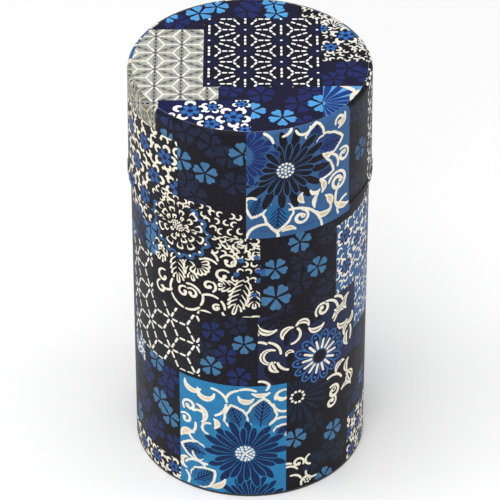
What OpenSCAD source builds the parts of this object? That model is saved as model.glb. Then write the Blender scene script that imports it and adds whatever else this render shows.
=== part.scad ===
// Slip-cap canister: a tinplate body and cap, both wrapped in printed paper, and a pressed
// inner lid with a riveted knob. The origin is the centre of the base, on the surface that
// the tin stands on, and +Z runs up its axis.

/* [Size] */
// Diameter of the body over its paper
body_d = 78; // [66:1:90]
// Height with the cap on
total_h = 149; // [120:1:180]
// Height of the cap, from its hem to its top
cap_h = 40; // [30:1:55]

/* [Sheet] */
// Thickness of the tinplate
tin_t = 0.3; // [0.25:0.05:0.35]
// Thickness of the printed paper
paper_t = 0.2; // [0.15:0.05:0.25]

/* [Cap] */
// Gap between the top of the cap and the body's neck, per side
slip_gap = 0.1; // [0.05:0.05:0.2]
// How far the cap widens from its shoulder to its hem, per side
cap_flare = 0.35; // [0.3:0.05:0.6]
// Height of the folded hem around the cap's edge
hem_h = 2.6; // [1.6:0.2:4]
// Outer radius of the tin at the cap's shoulder
shoulder_r = 1.2; // [1:0.1:2]

/* [Body] */
// Outer radius of the rolled lip around the mouth
lip_r = 0.9; // [0.7:0.1:1.1]
// How far the base panel is raised above the surface
base_recess = 2.2; // [1.6:0.2:3]
// Width of the lap where the body sheet is joined
lap_w = 5; // [3:1:8]

/* [Inner lid] */
// Depth of the pressed dish
dish_depth = 10; // [9.4:0.2:16]
// Height of the knob
knob_h = 9; // [8:0.5:9]
// Radius of the knob's head
knob_r = 7; // [6:0.5:9]

/* [Hidden] */
$fn = 128;
ARC_STEPS = 8;

// Body radii, from the paper inwards
body_r = body_d / 2;
tube_r = body_r - paper_t;
tube_in_r = tube_r - tin_t;

// Cap radii outside the tin, at the shoulder and at the hem
cap_top_r = tube_r + slip_gap + tin_t;
cap_low_r = cap_top_r + cap_flare;

// Levels, from the top down
top_tin_z = total_h - paper_t;
shoulder_z = top_tin_z - shoulder_r;
plate_gap = 0.1;
flange_z = top_tin_z - 2 * tin_t - plate_gap;
mouth_z = flange_z - tin_t;
dish_z = flange_z - dish_depth;
cap_z = total_h - cap_h;

// Top of the cap
shoulder_c = cap_top_r - shoulder_r;
turn_in_r = shoulder_c - 2.2;
plate_step = 0.3;
disc_gap = 0.1;

// Base
base_lip_h = 0.95;
base_lip_t = 0.25;
land_w = 1.5;
base_fillet = 0.3;
panel_r = tube_in_r - 1.8;
panel_top = base_recess + tin_t;
bead_depth = 0.5;
bead_w = 1.6;
bead_radii = [18, 28];

// Body paper runs from the base lip to just inside the cap's hem
paper_top_z = cap_z + 1.5;

// Lap of the body sheet, inside the tube, at the back
lap_angle = lap_w / tube_in_r * 180 / PI;

// Inner lid
plug_r = tube_r - 2 * lip_r - 0.1;
plug_low_r = plug_r - 0.3;
lid_flange_r = tube_r - 0.5;
dish_corner = 1.5;

// Knob, its rivet and its washer
foot_r = 5.5;
foot_t = 0.8;
cove_r = 2.3;
edge_r = 1;
bore_r = 1.5;
shank_r = 1.48;
shank_up = 5.8;
rivet_head_r = 3.2;
rivet_head_h = 0.8;
washer_r = 4.5;
washer_t = 0.4;
edge_c = [knob_r - edge_r, foot_t + 2 * cove_r + edge_r];
dome_drop = knob_h - edge_c[1];
dome_r = (pow(edge_c[0], 2) + pow(dome_drop, 2) - pow(edge_r, 2)) / (2 * (dome_drop - edge_r));
dome_c = [0, knob_h - dome_r];
dome_angle = atan2(edge_c[1] - dome_c[1], edge_c[0]);

TIN = [0.75, 0.76, 0.76];
PRINT = [0.13, 0.17, 0.36];
RIM = [0.1, 0.09, 0.08];

// Points along an arc, both ends included
function arc(c, r, from, to) =
    [for (i = [0:ARC_STEPS]) let (a = from + (to - from) * i / ARC_STEPS)
        c + r * [cos(a), sin(a)]];

function reversed(list) = [for (i = [len(list) - 1:-1:0]) list[i]];

// Outside radius of the cap's tin wall at height z
function cap_wall(z) = cap_low_r + (cap_top_r - cap_low_r) * (z - cap_z) / (shoulder_z - cap_z);

// Outline of the cap, t outside its tin, from the folded hem up and over the shoulder
function cap_outside(t) = concat(
    [[cap_low_r + tin_t + t, cap_z], [cap_low_r + tin_t + t, cap_z + hem_h - tin_t],
     [cap_wall(cap_z + hem_h) + t, cap_z + hem_h]],
    arc([shoulder_c, shoulder_z], shoulder_r + t, 0, 90));

// Inside face of the cap's tin, over the same run
function cap_inside() = concat(
    [[cap_wall(cap_z) - tin_t, cap_z]],
    arc([shoulder_c, shoulder_z], shoulder_r - tin_t, 0, 90));

module turned(outline) {
    rotate_extrude() polygon(outline);
}

module ring(inner, outer, low, high) {
    rotate_extrude() translate([inner, low]) square([outer - inner, high - low]);
}

// Rolled sheet with an inward lip at the mouth and a lapped joint at the back
module body_tube() {
    color(TIN) {
        ring(tube_in_r, tube_r, tin_t, mouth_z - lip_r);
        rotate_extrude() translate([tube_r - lip_r, mouth_z - lip_r]) difference() {
            circle(lip_r);
            circle(lip_r - tin_t);
            translate([-lip_r, -lip_r]) square([2 * lip_r - tin_t, lip_r - tin_t]);
        }
        rotate([0, 0, 90 - lap_angle / 2]) rotate_extrude(angle = lap_angle)
            translate([tube_in_r - tin_t, panel_top + 1])
                square([1.5 * tin_t, mouth_z - 3 * lip_r - panel_top - 1]);
    }
}

// Pressed end: two ring beads, a flat land to stand on and a lip hooked around the tube
module base_plate() {
    land_in = tube_r + base_lip_t - land_w;
    edge = tube_r + base_lip_t;
    color(RIM) difference() {
        union() {
            turned(concat(
                [[0, base_recess], [panel_r, base_recess], [land_in, base_recess / 2], [land_in, 0]],
                arc([edge - base_fillet, base_fillet], base_fillet, -90, 0),
                [[edge, base_lip_h], [tube_r, base_lip_h], [tube_r, tin_t],
                 [land_in + tin_t, tin_t], [land_in + tin_t, base_recess / 2 + tin_t],
                 [panel_r + tin_t / 2, panel_top], [0, panel_top]]));
            for (r = bead_radii)
                ring(r - bead_w / 2, r + bead_w / 2, base_recess - bead_depth, panel_top);
        }
        for (r = bead_radii)
            ring(r - bead_w / 2 + tin_t, r + bead_w / 2 - tin_t,
                 base_recess - bead_depth + tin_t, panel_top + 1);
    }
}

module body_paper() {
    color(PRINT) ring(tube_r, body_r, base_lip_h, paper_top_z);
}

// Flange on the rolled lip, a plug wall and a dish with a rounded corner
module inner_lid_pan() {
    corner = [plug_low_r - dish_corner, dish_z - tin_t + dish_corner];
    color(TIN) difference() {
        turned(concat(
            [[0, dish_z - tin_t]],
            arc(corner, dish_corner, -90, 0),
            [[plug_r, mouth_z], [lid_flange_r, mouth_z], [lid_flange_r, flange_z],
             [plug_r - tin_t, flange_z]],
            arc(corner, dish_corner - tin_t, 0, -90),
            [[0, dish_z]]));
        translate([0, 0, dish_z - 1]) cylinder(r = bore_r, h = 2);
    }
}

// Turned knob: a foot, a cove for the fingers and a domed head over a blind bore
module inner_lid_knob() {
    color(TIN) translate([0, 0, dish_z]) difference() {
        turned(concat(
            [[0, 0], [foot_r, 0]],
            arc([waist_c(), foot_t + cove_r], cove_r, 270, 90),
            arc(edge_c, edge_r, -90, dome_angle),
            arc(dome_c, dome_r, dome_angle, 90)));
        translate([0, 0, -1]) cylinder(r = bore_r, h = shank_up + 1.2);
    }
}

function waist_c() = min(foot_r, edge_c[0]);

// Rivet, its head below the washer and its shank up inside the knob
module knob_rivet() {
    seat = dish_z - tin_t - washer_t;
    color(TIN) {
        translate([0, 0, seat]) cylinder(r = shank_r, h = dish_z + shank_up - seat);
        translate([0, 0, seat]) turned(concat(
            [[0, 0], [0, -rivet_head_h]],
            arc([rivet_head_r - rivet_head_h, 0], rivet_head_h, -90, 0)));
    }
}

module knob_washer() {
    color(TIN) ring(bore_r, washer_r, dish_z - tin_t - washer_t, dish_z - tin_t);
}

// Flared wall with a folded hem, turned in over the edge of the top plate
module cap_tube() {
    color(TIN) turned(concat(
        cap_outside(0),
        [[turn_in_r, top_tin_z], [turn_in_r, top_tin_z - tin_t]],
        reversed(cap_inside())));
}

// Disc under the turned-in edge, its panel raised flush with it
module cap_top_plate() {
    step_r = turn_in_r - plate_gap;
    color(TIN) turned([
        [0, top_tin_z - tin_t], [step_r - 2 * plate_step, top_tin_z - tin_t],
        [step_r - plate_step, top_tin_z - 2 * tin_t], [shoulder_c, top_tin_z - 2 * tin_t],
        [shoulder_c, top_tin_z - tin_t], [step_r, top_tin_z - tin_t],
        [step_r - plate_step, top_tin_z], [0, top_tin_z]]);
}

module cap_side_paper() {
    color(PRINT) turned(concat(cap_outside(paper_t), reversed(cap_outside(0))));
}

module cap_top_paper() {
    color(PRINT) translate([0, 0, top_tin_z])
        cylinder(r = shoulder_c - disc_gap, h = paper_t);
}

body_tube();
base_plate();
body_paper();
inner_lid_pan();
inner_lid_knob();
knob_rivet();
knob_washer();
cap_tube();
cap_top_plate();
cap_side_paper();
cap_top_paper();
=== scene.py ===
# %% [markdown]
# # A printed-paper tin, finished in Blender
# The tin is a tinplate canister with a slip-on cap. Both are wrapped in printed patchwork paper,
# and under the cap sits a pressed inner lid with a knob. The CAD frame already holds every part at
# its real size, so this script never moves or reshapes those parts. It replaces the plain papers
# with sheets that carry the print, replaces the tube, the inner lid and the knob with rounder
# ones, and gives the rest of the metal its finish.
#
# The order is: load the frame, set the camera, the lights and the floor, draw the print flat, cut
# it into coloured facets, wrap it round the tin, and finish the metal.

# %% Load the frame
import math
import random

import bpy
import numpy as np
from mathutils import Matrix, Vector
from mathutils.geometry import delaunay_2d_cdt


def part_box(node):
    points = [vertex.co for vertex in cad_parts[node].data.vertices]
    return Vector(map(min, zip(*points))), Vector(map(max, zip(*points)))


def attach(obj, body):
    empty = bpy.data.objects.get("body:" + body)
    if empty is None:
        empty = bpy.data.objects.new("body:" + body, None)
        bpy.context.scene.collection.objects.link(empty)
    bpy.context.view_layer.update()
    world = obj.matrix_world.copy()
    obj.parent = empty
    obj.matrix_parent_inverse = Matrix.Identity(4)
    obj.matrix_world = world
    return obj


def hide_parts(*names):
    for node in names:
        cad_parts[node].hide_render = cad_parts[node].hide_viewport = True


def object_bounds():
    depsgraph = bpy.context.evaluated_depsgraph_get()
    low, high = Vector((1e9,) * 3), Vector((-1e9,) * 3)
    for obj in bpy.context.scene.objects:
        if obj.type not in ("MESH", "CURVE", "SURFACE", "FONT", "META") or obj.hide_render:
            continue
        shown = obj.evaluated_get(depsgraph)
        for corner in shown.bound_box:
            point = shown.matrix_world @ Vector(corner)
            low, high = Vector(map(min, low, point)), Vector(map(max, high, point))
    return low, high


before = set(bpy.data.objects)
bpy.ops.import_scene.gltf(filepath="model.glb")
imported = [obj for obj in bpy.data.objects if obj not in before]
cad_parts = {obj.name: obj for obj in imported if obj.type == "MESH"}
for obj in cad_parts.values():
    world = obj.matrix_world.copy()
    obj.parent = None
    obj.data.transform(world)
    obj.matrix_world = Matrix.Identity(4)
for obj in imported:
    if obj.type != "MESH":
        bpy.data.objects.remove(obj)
cad_low, cad_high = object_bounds()
bpy.ops.object.select_all(action="DESELECT")
MM = 0.001


def in_mm(node):
    """Lowest and highest corner of a CAD node, in millimetres."""
    low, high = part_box(node)
    return [v / MM for v in low], [v / MM for v in high]


print("nodes:", ", ".join(sorted(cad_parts)))

# %% [markdown]
# **Sizes.** The frame's boxes give the radius and the height of each paper. The few sizes that a
# box can't give, such as the height of the folded hem, are named here once. Everything flat is
# worked in millimetres and becomes metres when a mesh is made.

# %% Sizes of the papers
paper_low, paper_high = in_mm("body_paper")
side_low, side_high = in_mm("cap_side_paper")
disc_low, disc_high = in_mm("cap_top_paper")

BODY_R = paper_high[0]
PAPER_T = disc_high[2] - disc_low[2]
TIN_T = 0.3
HEM_H = 2.6
SHOULDER_R = 1.2 + PAPER_T
DISC_GAP = 0.1
LAP = 5.0
LAP_EASE = 1.4

DISC_R = disc_high[0]
SHOULDER_C = DISC_R + DISC_GAP
SHOULDER_Z = side_high[2] - SHOULDER_R
HEM_R = side_high[0]
WALL_LOW_R = HEM_R - TIN_T
WALL_TOP_R = SHOULDER_C + SHOULDER_R
HALF_TURN = math.pi * BODY_R
print(f"body paper radius {BODY_R:.2f}, cap paper {WALL_TOP_R:.2f} to {HEM_R:.2f} at its hem")
# %% [markdown]
# **Camera.** A product shot from well back with a long lens keeps the two sides of a tin almost
# parallel. The camera looks down at about 37 degrees, from 1.17 m, at the middle of the tin. A
# shorter lens from close by would make the cap look much wider than the base.

# %% Camera
MIDDLE = Vector((0.0, 0.0, cad_high.z / 2))
ELEVATION = math.radians(36.9)
DISTANCE = 1.168
LENS, SENSOR = 252.6, 36.0

camera = bpy.data.objects.new("camera", bpy.data.cameras.new("camera"))
bpy.context.collection.objects.link(camera)
back = Vector((0.0, -math.cos(ELEVATION), math.sin(ELEVATION)))
camera.location = MIDDLE + back * DISTANCE
camera.rotation_mode = "QUATERNION"
camera.rotation_quaternion = (-back).to_track_quat("-Z", "Y")
camera.data.lens = LENS
camera.data.sensor_width = SENSOR
camera.data.clip_start = 0.01
camera.data.clip_end = 20.0
bpy.context.scene.camera = camera
print(f"camera {DISTANCE:.2f} m away, {math.degrees(ELEVATION):.1f} degrees up, {LENS:.0f} mm lens")

# %% [markdown]
# **Light.** Soft, plain studio light: a white room, a large soft box over the top, one on each side
# and a weak one in front. The side boxes matter most on a tin, because satin paper shows them as a
# pale band along its two edges. Hard lamps would put small hot spots there instead.

# %% Soft boxes and the white room
AIM = Vector((0, 0, 0.07))
LIGHTS = [
    # name, place, width, height, power in watts
    ("top_box", (-0.15, -0.25, 1.35), 1.0, 1.0, 11.0),
    ("front_box", (-0.35, -1.4, 0.75), 0.9, 0.7, 5.0),
    ("left_box", (-1.2, -0.1, 0.45), 0.5, 0.9, 3.0),
    ("right_box", (1.2, 0.0, 0.45), 0.5, 0.9, 3.0),
]
for name, place, width, height, power in LIGHTS:
    lamp = bpy.data.lights.new(name, "AREA")
    lamp.shape = "RECTANGLE"
    lamp.size, lamp.size_y = width, height
    lamp.energy = power
    holder = bpy.data.objects.new(name, lamp)
    holder.location = place
    holder.rotation_mode = "QUATERNION"
    holder.rotation_quaternion = (AIM - Vector(place)).to_track_quat("-Z", "Y")
    bpy.context.collection.objects.link(holder)

world = bpy.data.worlds.new("white_room")
world.use_nodes = True
background = world.node_tree.nodes["Background"]
background.inputs["Color"].default_value = (1.0, 1.0, 1.0, 1.0)
background.inputs["Strength"].default_value = 0.5
bpy.context.scene.world = world
bpy.context.scene.view_settings.view_transform = "Standard"
bpy.context.scene.view_settings.look = "None"
print(len(LIGHTS), "soft boxes in a white room")

# %% [markdown]
# ** Floor.** The tin stands on plain near-white board, large enough to fill the view from
# every side. It isn't part of the tin.

# %% Floor
FLOOR_SIZE = 6.0
bpy.ops.mesh.primitive_plane_add(size=FLOOR_SIZE, location=(0, 0, 0))
floor = bpy.context.object
floor.name = "floor"
board = bpy.data.materials.new("white_board")
board.use_nodes = True
board_shader = board.node_tree.nodes["Principled BSDF"]
board_shader.inputs["Base Color"].default_value = (0.93, 0.93, 0.93, 1.0)
board_shader.inputs["Roughness"].default_value = 0.7
floor.data.materials.append(board)
bpy.ops.object.select_all(action="DESELECT")
print(f"floor: {FLOOR_SIZE:.0f} m of white board")
# %% [markdown]
# **Drawing with formulas.** The print is drawn flat, in millimetres, as outlines: a circle, a
# brush stroke along a path, a petal. A picture wrapped round the tin would blur when the camera
# comes close. Outlines stay sharp, and because they are functions of a few sizes, a flower can be
# drawn at any size, turn and colour. Each outline goes into one list with its patch and the name of
# its ink. Later ones lie on top.

# %% Outlines and brush strokes
shapes = []
ROUND_STEPS = 12


def add(patch, ink, points):
    """Print one closed outline on a patch."""
    if points:
        shapes.append((patch, ink, points))


def polar(x, y, r, angle):
    """The point r away from (x, y), angle in degrees from the +x direction."""
    a = math.radians(angle)
    return (x + r * math.cos(a), y + r * math.sin(a))


def dot(patch, ink, x, y, r, steps=ROUND_STEPS):
    add(patch, ink, [polar(x, y, r, 360 * k / steps) for k in range(steps)])


def arc(x, y, r, start, end, steps=10):
    """Points along an arc. The ends may be given in either order."""
    return [polar(x, y, r, start + (end - start) * k / steps) for k in range(steps + 1)]


def spiral(x, y, r, start, turns):
    """Points winding in to 0.3 of radius r. Negative turns wind clockwise."""
    steps = max(8, int(abs(turns) * 18))
    return [polar(x, y, r * (1 - 0.7 * k / steps), start + 360 * turns * k / steps)
            for k in range(steps + 1)]


def brush(patch, ink, path, tail, tip, belly=0.0):
    """A stroke along a path: half-widths at its tail and tip, and how much it swells between."""
    count = len(path) - 1
    left, right = [], []
    for k, (x, y) in enumerate(path):
        ax, ay = path[max(k - 1, 0)]
        bx, by = path[min(k + 1, count)]
        dx, dy = bx - ax, by - ay
        size = math.hypot(dx, dy) or 1.0
        t = k / count
        half = tail + (tip - tail) * t + belly * math.sin(math.pi * t) ** 1.4
        left.append((x - dy / size * half, y + dx / size * half))
        right.append((x + dy / size * half, y - dx / size * half))
    heel = math.degrees(math.atan2(path[1][1] - path[0][1], path[1][0] - path[0][0]))
    nose = math.degrees(math.atan2(path[-1][1] - path[-2][1], path[-1][0] - path[-2][0]))
    cap = [polar(*path[-1], tip, nose + a) for a in (45, 0, -45)]
    foot = [polar(*path[0], tail, heel + a) for a in (-135, 180, 135)]
    add(patch, ink, left + cap + right[::-1] + foot)


def dash(patch, ink, start, end, half):
    """A short straight stitch with rounded ends."""
    brush(patch, ink, [start, end], half, half)


# %% [markdown]
# **Flowers.** These are the stock motifs of dyed paper and cloth: a five-petalled blossom with
# notched tips, a many-petalled chrysanthemum, a daisy and a peony. Each is one petal outline turned
# round a centre. A thin gap keeps the petals apart, so the ground shows between them as it does
# where a stencil's bridges were.

# %% Flowers
def blossom(patch, ink, x, y, r, turn=0.0):
    """Five petals with notched tips."""
    gap, spread = 0.12 * r, 31.0
    for k in range(5):
        axis = turn + 72 * k
        cx, cy = polar(x, y, gap, axis)
        rim = []
        for i in range(9):
            a = -1 + i / 4
            notch = 0.12 * max(0.0, 1 - abs(a) * 3.2)
            rim.append(polar(cx, cy, r * (0.88 - notch - 0.17 * abs(a) ** 3), axis + spread * a))
        add(patch, ink, [polar(cx, cy, 0.02 * r, axis + 180)] + rim)


PETAL_STEPS = (0.0, 0.2, 0.42, 0.62, 0.78, 0.9, 0.97)


def petal(patch, ink, x, y, near, far, half, axis, sweep=0.0, root=0.2):
    """One long petal from radius near to far, blunt at its tip. sweep turns the tip aside."""
    left, right = [], []
    for t in PETAL_STEPS:
        width = half * (root + (1 - root) * math.sin(math.pi / 2 * min(1.0, t / 0.7)))
        if t > 0.7:
            width = half * math.sqrt(1 - ((t - 0.7) / 0.3) ** 2)
        bent = axis + sweep * t * t
        px, py = polar(x, y, near + (far - near) * t, bent)
        left.append(polar(px, py, width, bent + 90))
        right.append(polar(px, py, width, bent - 90))
    add(patch, ink, left + [polar(x, y, far, axis + sweep)] + right[::-1])


def chrysanthemum(patch, ink, x, y, near, far, count, turn, short, fill, seed=1, gap=None):
    """Long petals behind and short ones in front, each with an edge in the gap ink. short is the
    short ones' length, and fill is how much of the circle they cover."""
    chance = random.Random(seed)
    for layer in (0, 1):
        for k in range(layer, count, 2):
            axis, sweep = turn + 360 * k / count, chance.uniform(-5, 5)
            reach = far * (1.0, short)[layer] * chance.uniform(0.94, 1.04)
            half = fill * math.pi * (near + 0.7 * (reach - near)) / count
            if gap:
                petal(patch, gap, x, y, near, reach + 0.3, half + 0.3, axis, sweep)
            petal(patch, ink, x, y, near, reach, half, axis, sweep)


def dot_cluster(patch, ink, x, y, r, size):
    """Dots packed in rings."""
    dot(patch, ink, x, y, size, 8)
    rings = max(1, round(r / (2.3 * size)))
    for ring in range(1, rings + 1):
        radius = r * ring / rings
        count = int(2 * math.pi * radius / (2.5 * size))
        for k in range(count):
            dot(patch, ink, *polar(x, y, radius, 360 * (k + 0.5 * ring) / count), size, 8)


def daisy(patch, x, y, r):
    """Fourteen outlined petals with a pale ray in each, round a dark eye."""
    count = 14
    half = math.pi * 0.74 * r / count
    axes = [360 * k / count for k in range(count)]
    for axis in axes:
        petal(patch, "daisy_blue", x, y, 0.2 * r, r, half, axis)
        petal(patch, "deep_navy", x, y, 0.24 * r, r - 0.62, half - 0.5, axis)
    for axis in axes:
        dot(patch, "sky", *polar(x, y, 0.8 * r, axis), 0.5, 8)
        dash(patch, "cream", polar(x, y, 0.32 * r, axis), polar(x, y, 0.62 * r, axis), 0.46)
    dot(patch, "black", x, y, 0.24 * r, 14)


def bold_flower(patch, x, y, r, turn=0.0, line="cream", light="mid_blue"):
    """Five thick pale lobes round a blue flower with a dark eye."""
    for k in range(5):
        axis = turn + 72 * k
        path = arc(*polar(x, y, 0.7 * r, axis), 0.27 * r, axis - 112, axis + 112, 7)
        brush(patch, line, path, 0.07 * r, 0.07 * r, 0.07 * r)
    for ink, far, half in (("deep_navy", 0.7 * r, 0.25 * r), (light, 0.6 * r, 0.18 * r)):
        for k in range(5):
            petal(patch, ink, x, y, 0.1 * r, far, half, turn + 36 + 72 * k, 0, 0.6)
    dot(patch, "deep_navy", x, y, 0.2 * r, 10)


LINE = 0.72


def fan(patch, x, y, near, far, half, start, end, count, ink="cream"):
    """A fan of petals drawn as U-shaped lines: pale petals with dark ones inside."""
    for k in range(count):
        axis = start + (end - start) * k / max(1, count - 1)
        petal(patch, ink, x, y, near, far, half, axis, 0, 0.55)
        petal(patch, "black", x, y, near - 0.1, far - LINE, half - 0.78 * LINE, axis, 0, 0.75)


def feather(patch, x, y, length, turn, wide):
    """A feathered leaf: two rows of barbs that swell to a round end, and a U-shaped one at the tip."""
    rows = max(3, round(length / 2.6))
    for k in range(rows):
        t = (k + 0.4) / rows
        reach = wide * math.sin(math.pi * (0.25 + 0.6 * t))
        for side in (1, -1):
            near = polar(*polar(x, y, 0.8 * length * t, turn), 0.5, turn + 90 * side)
            middle = polar(*near, 0.6 * reach, turn + 46 * side)
            far = polar(*middle, 0.4 * reach, turn + 20 * side)
            brush(patch, "cream", [near, middle, far], 0.14, 0.44)
    fan(patch, *polar(x, y, 0.72 * length, turn), 0.2, 0.3 * length, 0.8, turn, turn, 1)


# Far and near radius, half-width and number of the petals in each ring
PEONY_RINGS = [(9.6, 7.2, 1.7, 11), (6.8, 4.9, 1.25, 10), (4.5, 3.0, 0.85, 9)]
WAVES, WAVE_STEP = 15, 2.4


def peony(patch, x, y):
    """Rings of cupped petals, a wavy blue line with dots in it, and a cluster of seeds."""
    angles = [WAVE_STEP * k for k in range(-90, 26)]
    wave = [polar(x, y, 10.8 + 0.8 * math.sin(math.radians(a * WAVES)), a) for a in angles]
    brush(patch, "black", wave, 1.1, 1.1)
    brush(patch, "blue", wave, 0.5, 0.5)
    for k in range(-9, 3):
        dot(patch, "white", *polar(x, y, 10.4, 360 * (k + 0.25) / WAVES), 0.5, 8)
    dot(patch, "black", x, y, 9.8, 24)
    y += 1.2
    chance = random.Random(2)
    for far, near, half, count in PEONY_RINGS:
        for k in range(count):
            axis = 7 * count + 360 * k / count + chance.uniform(-4, 4)
            shift = chance.uniform(-0.3, 0.4)
            wide = half * chance.uniform(0.8, 1.1)
            fan(patch, x, y, near + shift, far + shift, wide, axis, axis, 1)
    dot_cluster(patch, "cream", x, y, 2.2, 0.36)
    print("peony: three rings of petals and a wavy line")


# %% [markdown]
# **Stems, curls and leaves.** A curl is a brush stroke on a spiral, and a crescent is one on an arc
# with a belly. Both are pale lines with a tan core. The long lines of a vine are left broken here
# and there, as a stencil leaves them.

# %% Scrolls and leaves
STROKE = 0.5


def halo(patch, ink, path, half, belly=0.0):
    if ink:
        brush(patch, ink, path, half + 0.25, half + 0.25, belly)


def curl(patch, x, y, r, start, turns, core="tan", edge=None, wide=1.0):
    """A scroll that winds in and ends in a round tip."""
    path = spiral(x, y, r, start, turns)
    halo(patch, edge, path, STROKE * wide)
    brush(patch, "cream", path, 0.8 * STROKE * wide, 1.1 * STROKE * wide, 0.1)
    dot(patch, "cream", *path[-1], 0.9 * wide, 10)
    if core:
        dot(patch, core, *path[-1], 0.45 * wide, 8)


def crescent(patch, x, y, r, start, end, belly=0.75, core="tan", edge=None):
    """A thick comma on an arc, thin at both ends. A black core is only a line."""
    path = arc(x, y, r, start, end)
    halo(patch, edge, path, 0.36, belly)
    brush(patch, "cream", path, 0.34, 0.4, belly)
    if core:
        brush(patch, core, path[2:-2], 0.1, 0.1, 0.12 if core == "black" else belly * 0.62)


def stem(patch, x, y, r, start, end, half=STROKE, edge=None):
    path = arc(x, y, r, start, end, 8)
    halo(patch, edge, path, half)
    brush(patch, "cream", path, half * 0.85, half * 0.9, 0.08)


def leaf(patch, x, y, length, turn, fill="leaf_blue"):
    """A pointed leaf from its stalk at (x, y), with veins and a lobed pale outline."""
    half = 0.36 * length

    def side_of(grow, side):
        run = []
        for k in range(1, 13):
            t = k / 13
            lobe = 1 + 0.16 * abs(math.sin(3.5 * math.pi * t))
            width = side * (half * lobe * math.sin(math.pi * t ** 0.72) ** 0.8 + grow)
            px, py = polar(x, y, (length + grow) * t, turn)
            run.append(polar(px, py, width, turn + 90))
        return run

    def whole(grow):
        tip = polar(x, y, length + 1.5 * grow, turn)
        return side_of(grow, 1) + [tip] + side_of(grow, -1)[::-1]

    add(patch, "cream", whole(0.75))
    add(patch, fill, whole(0))
    dash(patch, "deep_navy", polar(x, y, 0.3, turn), polar(x, y, 0.93 * length, turn), 0.24)
    for k in range(1, 6):
        root = polar(x, y, length * (0.08 + 0.14 * k), turn)
        for side in (1, -1):
            reach = 0.95 * half * math.sin(math.pi * (0.25 + 0.12 * k))
            dash(patch, "deep_navy", root, polar(*root, reach, turn + 40 * side), 0.22)


# %% [markdown]
# **Hemp leaf and stacked blocks.** Both traditional figures come from one grid of triangles. Lines
# from each corner to the middles of the triangles round it give the stacked blocks, and the sides
# of the triangles with them make the hemp leaf. One function draws them as stitches.

# %% Stitched grids
def stitches(patch, ink, start, end, count, half, clear=(0.0, 0.0), fill=0.66):
    """A row of stitches from start to end, leaving the lengths in clear free at the two ends."""
    length = math.dist(start, end)
    ux, uy = (end[0] - start[0]) / length, (end[1] - start[1]) / length
    pitch = (length - clear[0] - clear[1]) / count
    for k in range(count):
        near = clear[0] + pitch * (k + 0.5 - fill / 2) + half
        far = clear[0] + pitch * (k + 0.5 + fill / 2) - half
        dash(patch, ink, (start[0] + ux * near, start[1] + uy * near),
             (start[0] + ux * far, start[1] + uy * far), half)


def triangle_corners(name, side, column, origin):
    """Corners of a grid of triangles over a patch, in columns, each second one half a step up."""
    u0, u1, z0, z1 = patches[name][0]
    x, y = origin
    return [(x + i * column, y + (j + 0.5 * (i % 2)) * side)
            for i in range(int((u0 - x) // column) - 1, int((u1 - x) // column) + 3)
            for j in range(int((z0 - y) // side) - 1, int((z1 - y) // side) + 3)]


def sides_from(side, column):
    """The three sides of the triangles that start at a corner."""
    return (0, side), (column, side / 2), (column, -side / 2)


def middles_round(corner, side, column):
    """The middles of the six triangles that meet at a corner."""
    third, half = column / 3, side / 2
    steps = ((2, 0), (-2, 0), (1, 1), (1, -1), (-1, 1), (-1, -1))
    return [(corner[0] + right * third, corner[1] + up * half) for right, up in steps]


# %% [markdown]
# **Patches.** Patchwork paper is printed as one sheet that imitates sewn scraps of cloth. Here each
# patch is a box on the unrolled sheet with a ground ink, and the shapes on it are cut off at its
# edges. The sheet is laid out once, in millimetres: u runs round the tin from the front, z runs up
# it, and one layout serves the body and the cap, so the print carries on across the joint. Later
# patches cover earlier ones.

# %% Patches and what fills them
patches = {}


def draw(name, kind, rows, **options):
    """One kind of shape on a patch, once for each row of numbers."""
    for row in rows:
        kind(name, *row, **options)


def blossoms(name, ink, spots):
    for spot in spots:
        blossom(name, ink, *spot)


def patch(name, box, ground, **spots):
    """A scrap of the patchwork: its box (u0, u1, z0, z1), its ground ink and its blossoms."""
    patches[name] = (box, ground)
    for ink, places in spots.items():
        blossoms(name, ink, places)


def spread_over(box, pitch, nudge, seed, extra=2):
    """Places all over a box, in staggered rows, each moved a little at random."""
    u0, u1, z0, z1 = box
    chance = random.Random(seed)
    for i in range(int((u1 - u0) / pitch) + extra):
        for j in range(int((z1 - z0) / pitch) + extra):
            x = u0 + (i + 0.5 * (j % 2)) * pitch + chance.uniform(-nudge, nudge)
            y = z0 + j * pitch + chance.uniform(-nudge, nudge)
            yield i, j, x, y, chance


def cups(patch, box, pitch, seed, ink="cream"):
    """Small cupped strokes crowded into a box, opening every way."""
    for _, _, x, y, chance in spread_over(box, pitch, 0.4, seed, 1):
        start = chance.uniform(0, 360)
        brush(patch, ink, arc(x, y, 0.34 * pitch, start, start + 190, 6), 0.2, 0.26, 0.14)


def scattered_blossoms(name, seed, pitch, bright):
    """Faint blossoms over the whole patch, with a bright one here and there on top."""
    bright_spots = []
    for _, _, x, y, chance in spread_over(patches[name][0], pitch, 2.0, seed):
        turn, pick = chance.uniform(0, 72), chance.random()
        if pick < bright:
            bright_spots.append((x, y, chance.uniform(3.7, 4.4), turn))
        elif pick < 0.9:
            blossom(name, "indigo", x, y, chance.uniform(3.4, 4.8), turn)
    blossoms(name, "sky", bright_spots)


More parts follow.
